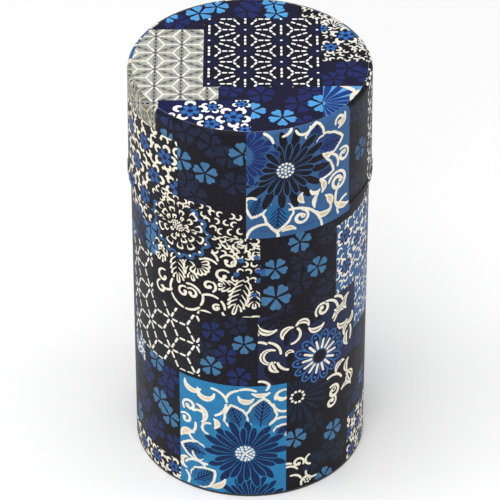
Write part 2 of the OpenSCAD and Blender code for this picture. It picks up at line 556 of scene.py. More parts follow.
def stone_leaf(name, side, column, origin, pale="chalk", dark="charcoal"):
    """Hemp leaf in pale lines on stone grey, with a dark dotted lens along each side."""
    for x, y in triangle_corners(name, side, column, origin):
        for dx, dy in sides_from(side, column):
            angle, length = math.degrees(math.atan2(dy, dx)), math.hypot(dx, dy)
            middle = (x + dx / 2, y + dy / 2)
            for back in (0, 180):
                petal(name, "dim_stone", *middle, 0, 0.46 * length, 0.85, angle + back, 0, 1.0)
            count = 4 if dx == 0 else 2
            clear = 0.6 if dx == 0 else 2.4
            stitches(name, dark, (x, y), (x + dx, y + dy), count, 0.27, (clear, clear), 0.62)
    for corner in triangle_corners(name, side, column, origin):
        for middle in middles_round(corner, side, column):
            stitches(name, pale, middle, corner, 2, 0.36, (0.0, 0.9), 0.98)
        dot(name, dark, *corner, 0.5, 8)


def hemp_leaf(name, side, column, origin):
    """Hemp leaf in white stitches. Each star's middle is open, with one dot on a soft blue round."""
    clear = 0.27 * side
    for x, y in triangle_corners(name, side, column, origin):
        for k in range(8):
            petal(name, "glow", x, y, 0, clear, 0.8, 45 * k, 0, 1.0)
    for corner in triangle_corners(name, side, column, origin):
        x, y = corner
        for middle in middles_round(corner, side, column):
            stitches(name, "white", middle, corner, 2, 0.35, (0.1, clear), 0.82)
        for dx, dy in sides_from(side, column):
            stitches(name, "white", corner, (x + dx, y + dy), 3, 0.35, (clear, clear), 0.8)
        dot(name, "white", x, y, 0.42, 10)


THREAD_PITCH = 1.7


def stacked_blocks(name, side, column, origin):
    """Three rhombs to a block, in broken pale lines over faint slanting threads."""
    u0, u1, z0, z1 = patches[name][0]
    for k in range(int((u1 - u0 + z1 - z0) / THREAD_PITCH)):
        near = u0 - (z1 - z0) + THREAD_PITCH * k
        stitches(name, "smoke", (near, z0), (near + 0.8 * (z1 - z0), z1), 9, 0.14, fill=0.7)
    for corner in triangle_corners(name, side, column, origin):
        for middle in middles_round(corner, side, column):
            stitches(name, "chalk", middle, corner, 2, 0.42, (0.1, 0.5), 0.8)
    print(f"{name}: stacked blocks")


def flower_field(name, seed, pitch, size=4.5):
    """Bold flowers on a dark ground, with small hooks in the gaps."""
    for _, _, x, y, chance in spread_over(patches[name][0], pitch, 0.5, seed):
        bold_flower(name, x, y, size, chance.uniform(0, 72))
        for along, up in ((0.5, 0.38), (0.0, 0.62)):
            turn = chance.uniform(0, 360)
            hook = (x + along * pitch, y + up * pitch, 0.14 * pitch)
            stem(name, *hook, turn, turn + 200, 0.42)
            dot(name, "cream", *polar(*hook, turn + 200), 0.62, 8)


def vine_field(name, seed, pitch=7.2, core="tan", edge=None):
    """Curls, crescents and stems all over a patch."""
    for i, j, x, y, chance in spread_over(patches[name][0], pitch, 0.7, seed):
        start = chance.uniform(0, 360)
        kind = (i + 2 * j) % 3
        if kind == 0:
            curl(name, x, y, 0.42 * pitch, start, chance.choice((-1.1, 1.1)), core, edge)
        elif kind == 1:
            crescent(name, x, y, 0.36 * pitch, start, start + 165, 0.8, core, edge)
        else:
            stem(name, x, y, 0.44 * pitch, start, start + 130, 0.46, edge)
            x, y = polar(x, y, 0.3 * pitch, start)
            crescent(name, x, y, 0.22 * pitch, start, start + 150, 0.5, core, edge)


# %% [markdown]
# ** The front of the sheet.** The patches and the larger motifs that face the front are placed one by
# one, because that is where the tin is looked at.

# %% Cap, front
SHEET_TOP = 154.0  # past the end of the cap's sheet, over the shoulder

patch("night", (-130, 130, -4, SHEET_TOP), "black")
scattered_blossoms("night", 11, 9.5, 0.16)

patch("cap_night", (-26, -1, 118, SHEET_TOP), "black",
      faint_indigo=[
          (-21, 146, 4.2, 20), (-12.5, 143.5, 4.6, 50), (-7, 140, 4.4, 10), (-15, 149, 4, 0),
          (-18, 122.5, 4.8, 30), (-20.5, 127.5, 4, 0), (-5, 130, 4.6, 40)],
      sky=[(-14.3, 132.4, 4.3, 18), (-23, 135, 4.4, 40)])

# Painted shade: the bright blossom on this strip is sky darkened for the shade on the right of the cap.
patch("cap_strip", (36, 49.5, 109, SHEET_TOP), "black",
      faint_indigo=[(40, 117, 4, 0), (46, 141, 4.2, 30), (39, 145, 4, 60)],
      dim_sky=[(43.2, 128.5, 4.2, 12)])

patch("cap_stone", (-62, -33.5, 136, SHEET_TOP), "dark_stone")
stone_leaf("cap_stone", 9.5, 8.5, (-52, 141), "dull_cream", "black")
patch("cap_flowers", (-56, -24.2, 101.5, 141), "black")
flower_field("cap_flowers", 5, 10.6, 4.7)
patch("cap_stitches", (49.5, 72, 96, SHEET_TOP), "black")
stacked_blocks("cap_stitches", 9.7, 8.5, (52, 110))
print("cap, front:", len(patches), "patches,", len(shapes), "shapes")

# %% [markdown]
# **Peony scrap.** This is the most crowded scrap: a peony over feathered leaves, curls and small
# cupped strokes. The peony is printed last, so the leaves seem to grow from under it.

# %% Peony and the stacked blocks
patch("blocks", (-52, -17, 49.0, 90), "ink_grey")
stacked_blocks("blocks", 12.9, 10.1, (-48.8, 55.6))

patch("peony", (-37, 3.2, 74, 120), "black")
draw("peony", cups, [
    ((-4.6, 3.6, 92, 101), 2.9, 3), ((-13.5, -2, 108.5, 120), 2.9, 5), ((-36.5, -30, 92, 99), 2.6, 7),
    ((-34, -15, 116.6, 120), 2.7, 8), ((-11.6, 3.4, 102, 108), 2.7, 6)])
draw("peony", feather, [
    (-25.6, 98, 13, -86, 4.2), (-30, 97.4, 8, -118, 3.4), (-21.4, 96.6, 9, -74, 3.0),
    (-1.2, 92.4, 15.5, -106, 4.6), (1.6, 88, 8, -92, 3.2), (-4, 88.6, 6.4, 178, 3.2),
    (-10.6, 107.6, 9, -18, 3.6), (-1, 107, 8, -60, 3.2)])
fan("peony", -17.4, 95.2, 1.6, 4.6, 0.95, -125, 25, 7)
draw("peony", curl, [
    (-22.8, 82.2, 2.3, 70, 0.85), (-19.6, 82.6, 2.2, 135, -0.85), (-31.4, 84.4, 2.9, 75, 0.75),
    (-32.4, 79.4, 2.6, 110, 0.8), (-6.8, 98.5, 3.1, 150, -0.95), (-9, 92.6, 2.7, 40, 0.85),
    (-13.6, 87.6, 1.9, 60, 0.7), (-11, 79.2, 1.5, 60, 0.8)], core=None, wide=0.85)
draw("peony", stem, [
    (-21.8, 82, 6.4, 150, 195), (-21.8, 82, 6.4, 205, 258), (-21.8, 82, 6.4, 268, 318),
    (-21.8, 82, 6.2, 330, 368), (-20.4, 82, 4.2, 25, 105), (-13.2, 79.4, 4.6, 55, 125),
    (-13, 79, 4.8, 0, 40), (-14.8, 73.8, 3.1, 50, 150), (-6.4, 78, 2.6, 190, 280),
    (-1, 72.6, 3.8, 60, 130), (-14, 94, 4.4, 45, 125), (-13.6, 87.4, 2.4, -50, 50),
    (-31, 84, 4.4, 250, 320), (-14.4, 97.8, 4, 10, 60), (2, 73.4, 3.4, 60, 150)], half=0.44)
for x, y in ((-4.4, 93.8), (2.6, 95.2), (2.2, 100.6), (-2.8, 99.4), (1.4, 85.6), (2.8, 91.4)):
    dot("peony", "mid_blue", x, y, 1.0, 10)
peony("peony", -24.4, 107.2)
for name in ("night", "peony"):
    blossoms(name, "sky", [(-38, 100.6, 4.0, 30), (-37.4, 94, 4.0, 0)])

patch("night_right", (3.2, 31.2, 74, 109.5), "black",
      dusk=[
          (17.5, 97, 4.4, 20), (27.4, 103.5, 4.4, 0), (16.6, 88, 4.8, 40), (27.5, 84, 4.4, 10),
          (24.5, 79, 4, 30), (11.5, 77, 4, 50)],
      sky=[
          (16.5, 104.4, 4.3, 90), (8.2, 95.5, 4.3, 126), (23.2, 92.2, 4.1, 100), (8.4, 84, 5.4, 54)],
      mid_blue=[(1.2, 94.5, 4, 0)])
print("round the peony:", len(patches), "patches,", len(shapes), "shapes")

# %% [markdown]
# **Blue scrap.** The leaves are printed first, then a round of the ground ink that clears a place
# for each chrysanthemum, then the flower, its eye and the vine.

# %% Blue patch across the front of the cap
patch("cap_blue", (-1.2, 36, 109, SHEET_TOP), "blue")
EYE, SIDE_EYE = (11.2, 134.2), (-3.4, 140.6)
draw("cap_blue", leaf, [
    (20.6, 141.2, 7.6, 78), (21, 139, 11, 3), (19.5, 132.8, 9.5, -26)], fill="leaf_dark")
draw("cap_blue", leaf, [(3.6, 125.5, 8.5, -110), (9.4, 122.5, 11, -95)])
dot("cap_blue", "blue", *EYE, 12.4, 24)
chrysanthemum("cap_blue", "black", *EYE, 3.0, 15.4, 34, 8, 0.66, 1.25, 4, "blue")
dot("cap_blue", "blue", *SIDE_EYE, 11.4, 24)
chrysanthemum("cap_blue", "navy", *SIDE_EYE, 4.4, 12.8, 30, 4, 0.76, 1.12, 3, "blue")
for far, half, axis in ((8.6, 1.0, 196), (7.6, 0.9, 172), (7.0, 0.9, 152), (9.4, 1.0, 130)):
    petal("cap_blue", "blue", *EYE, 2.8, far + 0.4, half + 0.4, axis)
    petal("cap_blue", "black", *EYE, 2.8, far, half, axis)
dot_cluster("cap_blue", "cream", *EYE, 2.5, 0.48)
draw("cap_blue", curl, [
    (33, 132.4, 2.9, 120, -1.15), (30.6, 123.2, 4.1, 165, -1.45, "tan", None, 1.1),
    (16.4, 114.8, 2.9, 80, -1.15), (31.4, 146.2, 2.2, 200, -0.9, "tan", None, 0.9)])
draw("cap_blue", crescent, [
    (23.2, 116.2, 4.4, 60, -15, 1.0), (25.2, 118.6, 4.2, 130, 200, 0.5, None),
    (25, 116.2, 3.2, 200, 330, 0.85), (35, 118.6, 6.4, 205, 275, 0.9), (21.6, 124, 3.2, 60, -40),
    (18.8, 122.4, 2.6, 140, 235, 0.7), (21.6, 124.4, 1.9, 190, 320, 0.4, None),
    (26.4, 138, 2.6, 215, 300, 0.7), (27.6, 149, 6.2, 300, 350, 0.9), (12.4, 108.6, 3.2, 50, 130, 0.5)])
draw("cap_blue", stem, [
    (13.5, 108.4, 10.4, 5, 95), (26.2, 130.8, 4.4, 65, -20), (40.5, 116.5, 11, 150, 185),
    (4.6, 108.4, 5.8, 80, 175), (17.2, 149, 2.6, 195, 345), (2.5, 144.5, 4.8, 10, 65),
    (0.2, 121.4, 3.2, 60, 110), (9.6, 151.6, 4.4, 280, 330), (34.6, 111.6, 4.2, 90, 190),
    (5.4, 109.4, 3.4, 300, 400)])

blossoms("cap_night", "sky", [(-2.2, 141.4, 4.6, 30)])
patch("vine_right", (31.2, 54, 76.5, 104.5), "blue")
cups("vine_right", (31.6, 54, 77, 104), 3.3, 21)
for x, y, turn in ((35.4, 98.4, 0), (36.4, 85.6, 50), (43.4, 92.5, 20), (50, 84, 40), (50.5, 99, 0)):
    dot("vine_right", "navy", x, y, 3.2)
    bold_flower("vine_right", x, y, 3.8, turn, "cream", "blue")
print("blue patches:", len(patches), "patches,", len(shapes), "shapes")

# %% [markdown]
# **Daisy on two scraps.** The daisy lies across the seam between two scraps. It is printed on both,
# and each scrap's box cuts off its own share.

# %% Indigo patch with the daisy
patch("indigo_patch", (2.6, 42, 47.5, 76.5), "slate")
EYE = (16.2, 40.6)
chrysanthemum("indigo_patch", "black", 13.5, 77.5, 0.6, 14, 22, 4, 0.85, 0.7)
chrysanthemum("indigo_patch", "black", *EYE, 2.6, 20, 22, 0, 0.9, 0.8)
patch("under_daisy", (12.3, 46, 30, 47.5), "black")
chrysanthemum("under_daisy", "deep_teal", *EYE, 2.6, 13.5, 20, 8, 0.85, 0.5)
for k in range(10):
    dot("under_daisy", "cream", *polar(*EYE, 2.3, 36 * k), 0.56, 8)
for name in ("indigo_patch", "under_daisy"):
    daisy(name, 24.6, 54.6, 10.6)
draw("indigo_patch", curl, [(25.6, 73.6, 3.1, 215, -1.25)], core=None, edge="black")
draw("indigo_patch", stem, [(26.6, 70.4, 5.8, -45, 85), (13.6, 67, 3.4, -85, 45)], edge="black")
draw("indigo_patch", crescent, [
    (13.6, 67.4, 3.0, 75, 200, 0.75), (17.6, 69.6, 2.4, -5, 150, 0.7), (23.2, 69.6, 3.4, 205, 325, 0.8),
    (6.2, 73.4, 3.8, 180, 310, 0.85), (6.8, 59.6, 2.9, 60, 300, 0.55), (10.4, 56.2, 3.4, 160, 250, 0.9),
    (33, 66, 3.4, 50, 150, 0.8), (35.2, 64.6, 2.8, 190, 320, 0.8), (38.8, 58.4, 3.0, 60, 200, 0.8),
    (40, 55, 3.4, 130, 230, 0.8), (38.6, 70.6, 3.0, 100, 230, 0.8), (13.4, 59.4, 1.3, 30, 190, 0.35),
    (38.4, 63.4, 2.4, 250, 380, 0.7), (32.4, 72.4, 2.4, 230, 340, 0.7)], core="black", edge="black")
draw("indigo_patch", stem, [
    (4.8, 60.4, 5.4, 0, 75), (14, 58, 5.0, 195, 255), (3, 62.4, 3.6, 50, 95), (5.4, 71, 3.4, 160, 215),
    (3.4, 46.2, 3.4, 10, 100), (30, 71, 5.2, 20, 80), (32, 56.5, 8, 340, 380)], edge="black")
draw("under_daisy", curl, [
    (31, 36.2, 2.9, 120, -1.1, "black", None, 1.15), (30, 32.2, 2.4, 40, -0.95, None)])
stem("under_daisy", 30, 38, 5.4, 25, 110)
draw("under_daisy", crescent, [
    (34.8, 44.2, 2.8, 60, 190, 0.8), (40.4, 43, 3.2, 120, 230, 0.8), (38.6, 37.2, 2.6, -40, 110, 0.6),
    (37.6, 32.6, 3.2, 20, 140, 0.7), (41, 38, 2.8, 150, 260, 0.7)], core="black")

patch("night_centre", (-17, 2.6, 47, 76.5), "black",
      indigo=[(-12.4, 69.2, 4.2, 0), (-8.2, 60.2, 4.2, 30), (-3.6, 51.4, 4.2, 10)],
      faint_indigo=[(-15, 61, 3.6, 60), (-4.5, 73, 4, 40)],
      sky=[(-2, 65.2, 4.1, 200), (-13, 54.6, 4.1, 20)])
print("centre:", len(patches), "patches,", len(shapes), "shapes")

# %% [markdown]
# **Foot.** The bright scrap at the foot repeats the blue one's order of printing. The patches run
# past the edge of the paper, as they would on a sheet that is trimmed after printing.

# %% Foot of the sheet, front
patch("night_left", (-52, -25, 9, 49.0), "black",
      indigo=[
          (-42, 38, 4.6, 0), (-31, 38, 4.2, 30), (-27.5, 15, 4.2, 0), (-36.5, 17.5, 4.6, 40),
          (-44, 24, 4.6, 20), (-29, 44, 4, 60), (-41.5, 12.5, 4.2, 50)],
      sky=[
          (-36, 46.5, 4.2, 90), (-34.2, 31, 4.5, 60), (-29.6, 26.2, 4.4, 20), (-50.5, 14.5, 4, 0)])
patch("pale_scrap", (-52, -43.5, 41, 49.0), "sky")
flower_field("pale_scrap", 8, 6, 2.6)
patch("foot_flowers", (-58, -25, -4, 9), "black")
flower_field("foot_flowers", 31, 8.4, 3.9)

patch("foot_blue", (-25, 12.3, -4, 47.6), "bright_blue")
EYE = (-1.6, 18.8)
draw("foot_blue", leaf, [
    (-3.2, 29.6, 9.6, 108), (3.4, 30.2, 11.6, 84), (8.6, 26, 5.4, 40), (-15, 16, 9, 172),
    (-19.8, 3, 9.6, 40)])
chrysanthemum("foot_blue", "foot_navy", 0.5, -3, 3.5, 12.8, 30, 0, 0.82, 0.95, 7, "bright_blue")
dot("foot_blue", "bright_blue", *EYE, 11.6, 24)
chrysanthemum("foot_blue", "foot_navy", *EYE, 3.4, 14.6, 28, 6, 0.8, 1.02, 8, "bright_blue")
dot_cluster("foot_blue", "cream", *EYE, 2.9, 0.5)
draw("foot_blue", crescent, [
    (-19.6, 45.4, 3.2, 170, 325, 0.8), (-15, 43.2, 3.0, 165, 355, 0.8), (-1.2, 43.6, 2.7, 190, 330, 0.8),
    (3.6, 48.6, 5, 235, 305, 0.6)], core="light_tan")
crescent("foot_blue", 11, 43, 1.9, 180, 320, 0.5, None)
draw("foot_blue", crescent, [
    (-19.4, 32.8, 4.2, 75, -45), (-13.4, 30.2, 2.4, 60, -50), (-20.6, 20.2, 4.0, 170, 75, 1.2),
    (-13.6, 8, 5.4, 265, 345, 0.9), (-22.2, 10, 2.4, 90, 260, 0.6)], core="light_tan")
draw("foot_blue", stem, [
    (-13.4, 39.4, 5.8, 10, 85), (-14.4, 39.8, 6.5, -65, -5), (-3.2, 40.8, 4.9, 100, 165),
    (-1.2, 40.2, 6.2, 60, 110), (4.2, 47.4, 2.0, -50, 60), (11.4, 42, 3.0, 80, 190),
    (11.8, 39.8, 4.0, 185, 275), (10.8, 28.6, 4.8, 75, 150), (-17.6, 31.2, 3.2, 130, 40),
    (-14, 27.6, 2.4, 80, 260), (-24, 27.6, 5.2, 10, -40), (-17.6, 24.2, 4.0, 190, 250),
    (-15.6, 16.4, 4.6, 190, 280), (-19, 8, 4.4, 40, 150), (-25, 3.4, 3.6, -30, 50)])
draw("foot_blue", curl, [
    (-21.2, 35.2, 2.7, 220, -1.05, "light_tan"), (-22.6, 29.2, 2.3, 140, -0.95, "light_tan", None, 0.85)])

patch("night_foot", (12.3, 39, -4, 30), "black",
      deep_teal=[(22, 10, 4.2, 0), (28, 12, 4.2, 30), (22.5, 27, 4.2, 50), (34, 9, 4, 20)],
      sky=[(15.6, 23, 4.2, 66), (31, 19.6, 4.3, 50), (27, 1.4, 4, 10)])
curl("night_foot", 16.6, 12, 2.3, -30, 0.9, None, wide=0.85)
draw("night_foot", stem, [
    (21.6, 12, 2.2, 110, 260), (13.2, 7.6, 3.6, 30, 110), (14.6, 3.6, 3.4, 20, 100),
    (22.6, 6.6, 3, 170, 290), (20, 2.6, 2.2, 60, 200), (12.8, 10, 2.6, 60, 130)], half=0.44)
dot_cluster("night_foot", "cream", 20.2, 3.4, 1.2, 0.42)

patch("foot_field", (39, 64, -4, 20), "black")
flower_field("foot_field", 44, 8, 3.8)
patch("strip_right", (42, 52, 20, 56), "black",
      sky=[(51, 30, 4, 0)],
      indigo=[(46, 50, 4, 0), (46, 26, 4, 20)])
patch("vine_far", (42, 58, 56, 79.5), "blue")
cups("vine_far", (42, 58, 56, 79), 3.3, 3)
print("foot:", len(patches), "patches,", len(shapes), "shapes")

# %% [markdown]
# **The back of the sheet.** Nothing new is drawn for the back: the same kinds of patch are laid out
# in other sizes, so the tin reads as the same paper from every side.

# %% Sides and back
SIDES = [
    ("back_blue", (72, 104, 82, SHEET_TOP), "blue", vine_field, 51),
    ("back_stone", (104, 130, 100, SHEET_TOP), "dark_stone",
     stone_leaf, 9.5, 8.5, (104, 104), "dull_cream", "black"),
    ("back_flowers", (58, 82, 20, 58), "black", flower_field, 61, 10.4),
    ("back_stitches", (82, 112, 40, 82), "ink_grey", stacked_blocks, 12.9, 10.1, (84, 44)),
    ("back_foot", (88, 121, -4, 40), "bright_blue", vine_field, 71, 7.2, "light_tan"),
    ("left_blue", (-88, -62, 92, SHEET_TOP), "blue", vine_field, 81),
    ("left_indigo", (-86, -58, 28, 66), "slate", vine_field, 91, 7.5, "black", "black"),
    ("left_hemp", (-112, -86, 50, 92), "black", hemp_leaf, 12.7, 11.7, (-108, 56)),
    ("left_foot", (-104, -78, -4, 28), "black", flower_field, 97, 10),
    ("left_vine", (-124, -104, 96, SHEET_TOP), "black", flower_field, 99, 10.4),
]
for name, box, ground, fill, *numbers in SIDES:
    patch(name, box, ground)
    fill(name, *numbers)
    if name == "left_indigo":
        daisy(name, -71, 46, 10.6)
for name, x, y, ground, ink in (
        ("back_blue", 88, 126, "blue", "black"), ("back_foot", 104, 18, "bright_blue", "deep_navy"),
        ("left_blue", -75, 122, "blue", "navy")):
    dot(name, ground, x, y, 15.5, 20)
    chrysanthemum(name, ink, x, y, 3.0, 15.4, 34, 8, 0.68, 1.25, 5, ground)
    dot_cluster(name, "cream", x, y, 2.6, 0.48)
print(len(patches), "patches,", len(shapes), "shapes on the rolled sheet")

# %% [markdown]
# **The cap's disc** is cut from the same paper and laid on the top, so it has its own small layout:
# x runs right and y runs back, from the middle of the disc.

# %% Layout of the disc
sheet_patches, sheet_shapes = patches, shapes
patches, shapes = {}, []

# The disc's inks are partly painted light: lighter copies of the side's inks, for the brighter top.
patch("top_night", (-42, 42, -42, 42), "top_black",
      top_indigo=[(-24, 24.5, 4.6, 0), (-1, 31, 4.6, 20), (0.5, 36, 4, 50), (-8, 24, 3, 0)],
      top_sky=[
          (-16.6, 29.6, 4.6, 30), (-11, 33.6, 4.2, 10), (-27, 27.6, 3.6, 0), (8.6, 29.4, 4, 60),
          (7.8, 35.4, 4, 20)])
patch("top_stone", (-42, -15, -26, 20), "stone")
stone_leaf("top_stone", 9.5, 8.4, (-30.4, 6.5))
patch("top_stone_step", (-15.5, -10, -26, -13), "stone")
stone_leaf("top_stone_step", 9.5, 8.4, (-30.4, 6.5))
patch("top_peony", (16, 42, 1.5, 42), "black")
draw("top_peony", cups, [
    ((17, 25, 26.5, 38), 2.45, 4), ((24, 36, 15.6, 30), 2.45, 5), ((31, 41, 2.4, 15), 2.45, 6),
    ((24, 31, 3, 8), 2.45, 7)], ink="chalk")
for x, y, start, end, count in ((26.6, 22, 30, 150, 6), (33.6, 12.6, -50, 70, 5)):
    fan("top_peony", x, y, 1.4, 4.4, 0.85, start, end, count, "chalk")
for x, y, r, turn in ((31, 16.6, 4.6, 20), (26, 9.8, 3.6, 50), (23.6, 20.6, 2.8, 0)):
    dot("top_peony", "black", x, y, 1.05 * r, 14)
    bold_flower("top_peony", x, y, r, turn, "chalk", "top_blue")
patch("top_hemp", (-15, 23, -13, 26.6), "top_ink")
hemp_leaf("top_hemp", 12.5, 11.65, (-13.2, 1.2))
patch("top_right", (23, 42, -12.6, 1.5), "top_black",
      top_indigo=[(31.5, -2.5, 4.6, 0), (37, -6.5, 4.2, 30), (26.5, -8.5, 4, 20)])
patch("top_dark", (-10, 23, -42, -13), "top_black",
      top_indigo=[
          (3.4, -17.2, 4.6, 20), (15.6, -22.4, 5, 0), (19, -15.4, 3.8, 40), (17.6, -33, 4.2, 10),
          (-6, -15, 4, 0)],
      top_sky=[(0.6, -26.4, 4.6, 0), (10.2, -30, 4.6, 54)])
patch("top_flowers", (-29, 0.2, -42, -20.5), "deep_navy")
draw("top_flowers", bold_flower, [
    (-12, -24.4, 3.2, 10), (-12, -33.6, 4.2, 30), (-2.6, -22.6, 2.8, 50), (-25.4, -31, 3.4, 0),
    (-1.6, -37, 3.4, 20)], line="white", light="top_blue")
for x, y, turn in ((-18.8, -26.4, 18), (-5.2, -29.8, 54)):
    dot("top_flowers", "deep_navy", x, y, 4.8, 14)
    bold_flower("top_flowers", x, y, 5.2, turn, "white", "top_blue")
patch("top_blue", (23, 42, -42, -12.6), "top_light")
chrysanthemum("top_blue", "top_petal", 22.6, -22.2, 1.2, 14.5, 20, 3, 0.94, 0.68, 2, "top_light")
crescent("top_blue", 26.5, -20.5, 8.4, 25, 75, 0.5, None)
crescent("top_blue", 38, -20, 6, 110, 190, 0.4, None)
blossoms("top_dark", "top_sky", [(22.8, -22.2, 4.8, 38)])
disc_patches, disc_shapes = patches, shapes
print(len(disc_patches), "patches,", len(disc_shapes), "shapes on the disc")

# %% [markdown]
# **From outlines to facets.** The outlines now have to become one sheet of mesh. Stacking coloured
# shapes on the tin would need thousands of loose scraps floating over each other. A constrained
# Delaunay triangulation does what a stencil knife does: given all the outlines as edges, it returns
# one flat sheet of triangles that no outline crosses. Every triangle then takes the ink of the
# topmost shape over its middle. Cuts at every few degrees let the flat sheet bend round the tin.

# %% Ink colours
INKS = {
    "black": (19, 18, 27), "ink_grey": (26, 26, 31), "smoke": (40, 40, 48), "charcoal": (62, 62, 60),
    "faint_indigo": (28, 36, 60), "indigo": (28, 42, 90), "slate": (31, 38, 68), "dusk": (31, 33, 52),
    "deep_teal": (24, 36, 54), "deep_navy": (21, 27, 70), "navy": (26, 44, 102),
    "foot_navy": (17, 38, 80), "leaf_dark": (32, 62, 118), "leaf_blue": (34, 96, 144),
    "mid_blue": (46, 88, 146), "blue": (52, 92, 138), "bright_blue": (40, 120, 168),
    # Painted shade: the first sky on the next line is sky darkened for the shaded right of the cap.
    "dim_sky": (46, 88, 126), "daisy_blue": (56, 102, 156), "sky": (64, 112, 152),
    "cream": (232, 226, 208), "light_tan": (222, 208, 182), "tan": (212, 192, 156),
    "white": (250, 250, 248), "chalk": (228, 227, 216), "dull_cream": (190, 184, 160),
    "stone": (172, 173, 162), "dim_stone": (146, 146, 142), "dark_stone": (112, 108, 90),
    # The inks named top_ are the disc's. They are lighter and bluer than the side's: partly the print,
    # partly painted light for the top being lit more than the side.
    "rim": (200, 198, 190), "top_ink": (20, 18, 34), "glow": (22, 25, 56), "top_black": (24, 23, 48),
    "top_indigo": (31, 41, 94), "top_blue": (50, 108, 178), "top_light": (96, 158, 206),
    "top_petal": (25, 56, 124), "top_sky": (78, 154, 212),
}
ink_names = list(INKS)
ink_levels = np.array([INKS[name] for name in ink_names]) / 255.0
low_part = ink_levels / 12.92
high_part = ((ink_levels + 0.055) / 1.055) ** 2.4
ink_linear = np.where(ink_levels <= 0.04045, low_part, high_part)
print(len(ink_names), "inks")


# %% Cutting
def clip(points, box):
    """An outline cut off at the sides of a box."""
    for side, limit in enumerate(box):
        axis, sign, kept = side // 2, (1, -1)[side % 2], []
        for k, p in enumerate(points):
            q = points[k - 1]
            p_over, q_over = sign * (p[axis] - limit), sign * (q[axis] - limit)
            if p_over * q_over < 0:
                t = q_over / (q_over - p_over)
                cross = [q[0] + (p[0] - q[0]) * t, q[1] + (p[1] - q[1]) * t]
                cross[axis] = limit
                kept.append(tuple(cross))
            if p_over >= 0:
                kept.append(p)
        points = kept
        if len(points) < 3:
            return None
    return points


def box_of(points):
    xs, ys = zip(*points)
    return min(xs), max(xs), min(ys), max(ys)


def covered(inner, outer):
    return (inner[0] >= outer[0] and inner[1] <= outer[1]
            and inner[2] >= outer[2] and inner[3] <= outer[3])


def apart(one, other):
    return (one[1] <= other[0] or one[0] >= other[1]
            or one[3] <= other[2] or one[2] >= other[3])


def visible_shapes(patch_boxes, all_shapes, window):
    """Each shape cut to its patch, without those outside the window or hidden by a later patch."""
    names = list(patch_boxes)
    wanted = []
    for name, ink, points in all_shapes:
        points = clip(points, patch_boxes[name][0])
        if not points:
            continue
        spread, number = box_of(points), names.index(name)
        if apart(spread, window):
            continue
        if any(covered(spread, patch_boxes[later][0]) for later in names[number + 1:]):
            continue
        wanted.append((number, ink_names.index(ink), clip(points, window), spread))
    return [w for w in wanted if w[2]]


def triangulate(points, edges, lines):
    """Triangles that no edge or line crosses: points, triangles and each old point's new number."""
    points, edges = [Vector(p) for p in points], list(edges)
    given = len(points)
    for line in lines:
        edges.append((len(points), len(points) + 1))
        points.extend(Vector(p) for p in line)
    out = delaunay_2d_cdt(points, edges, [], 0, 1e-5, True)
    flat = np.array([tuple(p) for p in out[0]])
    became = np.zeros(given, int)
    for number, sources in enumerate(out[3]):
        for source in sources:
            if source < given:
                became[source] = number
    return flat, np.array(out[2]), became


def inside(xs, ys, starts, ends):
    """Which of the points lie in an outline, by how often its edges wind round them."""
    ax, ay, bx, by = starts[:, :1], starts[:, 1:], ends[:, :1], ends[:, 1:]
    side = (bx - ax) * (ys - ay) - (xs - ax) * (by - ay)
    up = (ay <= ys) & (by > ys) & (side > 0)
    down = (ay > ys) & (by <= ys) & (side < 0)
    return (up.sum(axis=0) - down.sum(axis=0)) != 0


def print_inks(flat, triangles, patch_boxes, wanted):
    """The ink of every triangle: its patch's ground, then each shape over its middle in turn."""
    middle = flat[triangles].mean(axis=1)
    order = np.argsort(middle[:, 0])
    xs, ys = middle[order].T
    owner, ink = np.zeros(len(xs), int), np.zeros(len(xs), int)
    for number, (box, ground) in enumerate(patch_boxes.values()):
        over = (xs > box[0]) & (xs < box[1]) & (ys > box[2]) & (ys < box[3])
        owner[over] = number
        ink[over] = ink_names.index(ground)
    for number, colour, outline, spread in wanted:
        first, last = np.searchsorted(xs, spread[0]), np.searchsorted(xs, spread[1])
        near = np.arange(first, last)
        near = near[(ys[near] >= spread[2]) & (ys[near] <= spread[3]) & (owner[near] == number)]
        if len(near):
            shape = np.array(outline)
            ink[near[inside(xs[near], ys[near], shape, np.roll(shape, -1, axis=0))]] = colour
    back_in_order = np.empty(len(xs), int)
    back_in_order[order] = ink
    return back_in_order


# %% [markdown]
# **A sheet has two faces.** One layer of triangles has no thickness and would fail as a solid. So
# each sheet is a closed shell: the printed face, a back face with far fewer triangles, because
# nothing is printed there, and a narrow rim between the two. The back face uses exactly the rim's
# points, so no gap opens between them.

# %% Making one closed printed sheet
def rim_of(triangles):
    """The directed edges that only one triangle has."""
    a, b = triangles.T.ravel(), np.roll(triangles, -1, axis=1).T.ravel()
    size = int(triangles.max()) + 1
    alone = ~np.isin(a * size + b, b * size + a)
    return np.stack([a[alone], b[alone]], axis=1)


def outline_edges(outlines):
    """All the points of the outlines in one list, and the edges between them."""
    points, edges = [], []
    for outline in outlines:
        first, count = len(points), len(outline)
        points.extend(outline)
        edges.extend((first + k, first + (k + 1) % count) for k in range(count))
    return points, edges


def keep_inside(flat, faces, starts, ends):
    """Only the triangles in the outline, and only the points that they use."""
    middle = flat[faces].mean(axis=1)
    faces = faces[inside(middle[:, 0], middle[:, 1], starts, ends)]
    used, faces = np.unique(faces, return_inverse=True)
    return flat[used], faces.reshape(-1, 3), used


